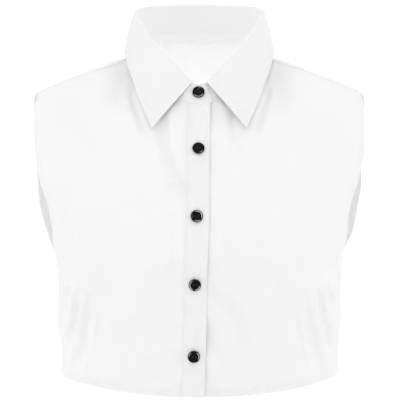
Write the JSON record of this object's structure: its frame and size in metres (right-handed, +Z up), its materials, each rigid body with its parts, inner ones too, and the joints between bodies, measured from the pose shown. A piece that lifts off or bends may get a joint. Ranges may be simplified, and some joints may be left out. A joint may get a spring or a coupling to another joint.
{
  "type": "detachable shirt collar",
  "caption": "Detachable shirt collar: a white sleeveless cropped shirt front and back with a point collar, a placket and black buttons, filled out as worn.",
  "frame": {"origin": "inside the neck, on the mid plane, level with the points where the shoulder seams meet the collar", "axes": "+X across to the wearer's left, the front with its buttons faces -Y, +Z up from the hem to the collar"},
  "size_m": [0.3492, 0.2177, 0.3994],
  "materials": {
    "cotton": "matt plain-weave shirting",
    "buttons": "polished black resin"
  },
  "bodies": {
    "root": {"back": "cotton", "front_right": "cotton", "front_left": "cotton", "placket": "cotton", "collar_stand": "cotton", "collar_leaf": "cotton", "button_1": "buttons", "button_2": "buttons", "button_3": "buttons", "button_4": "buttons", "button_5": "buttons"}
  },
  "joints": []
}
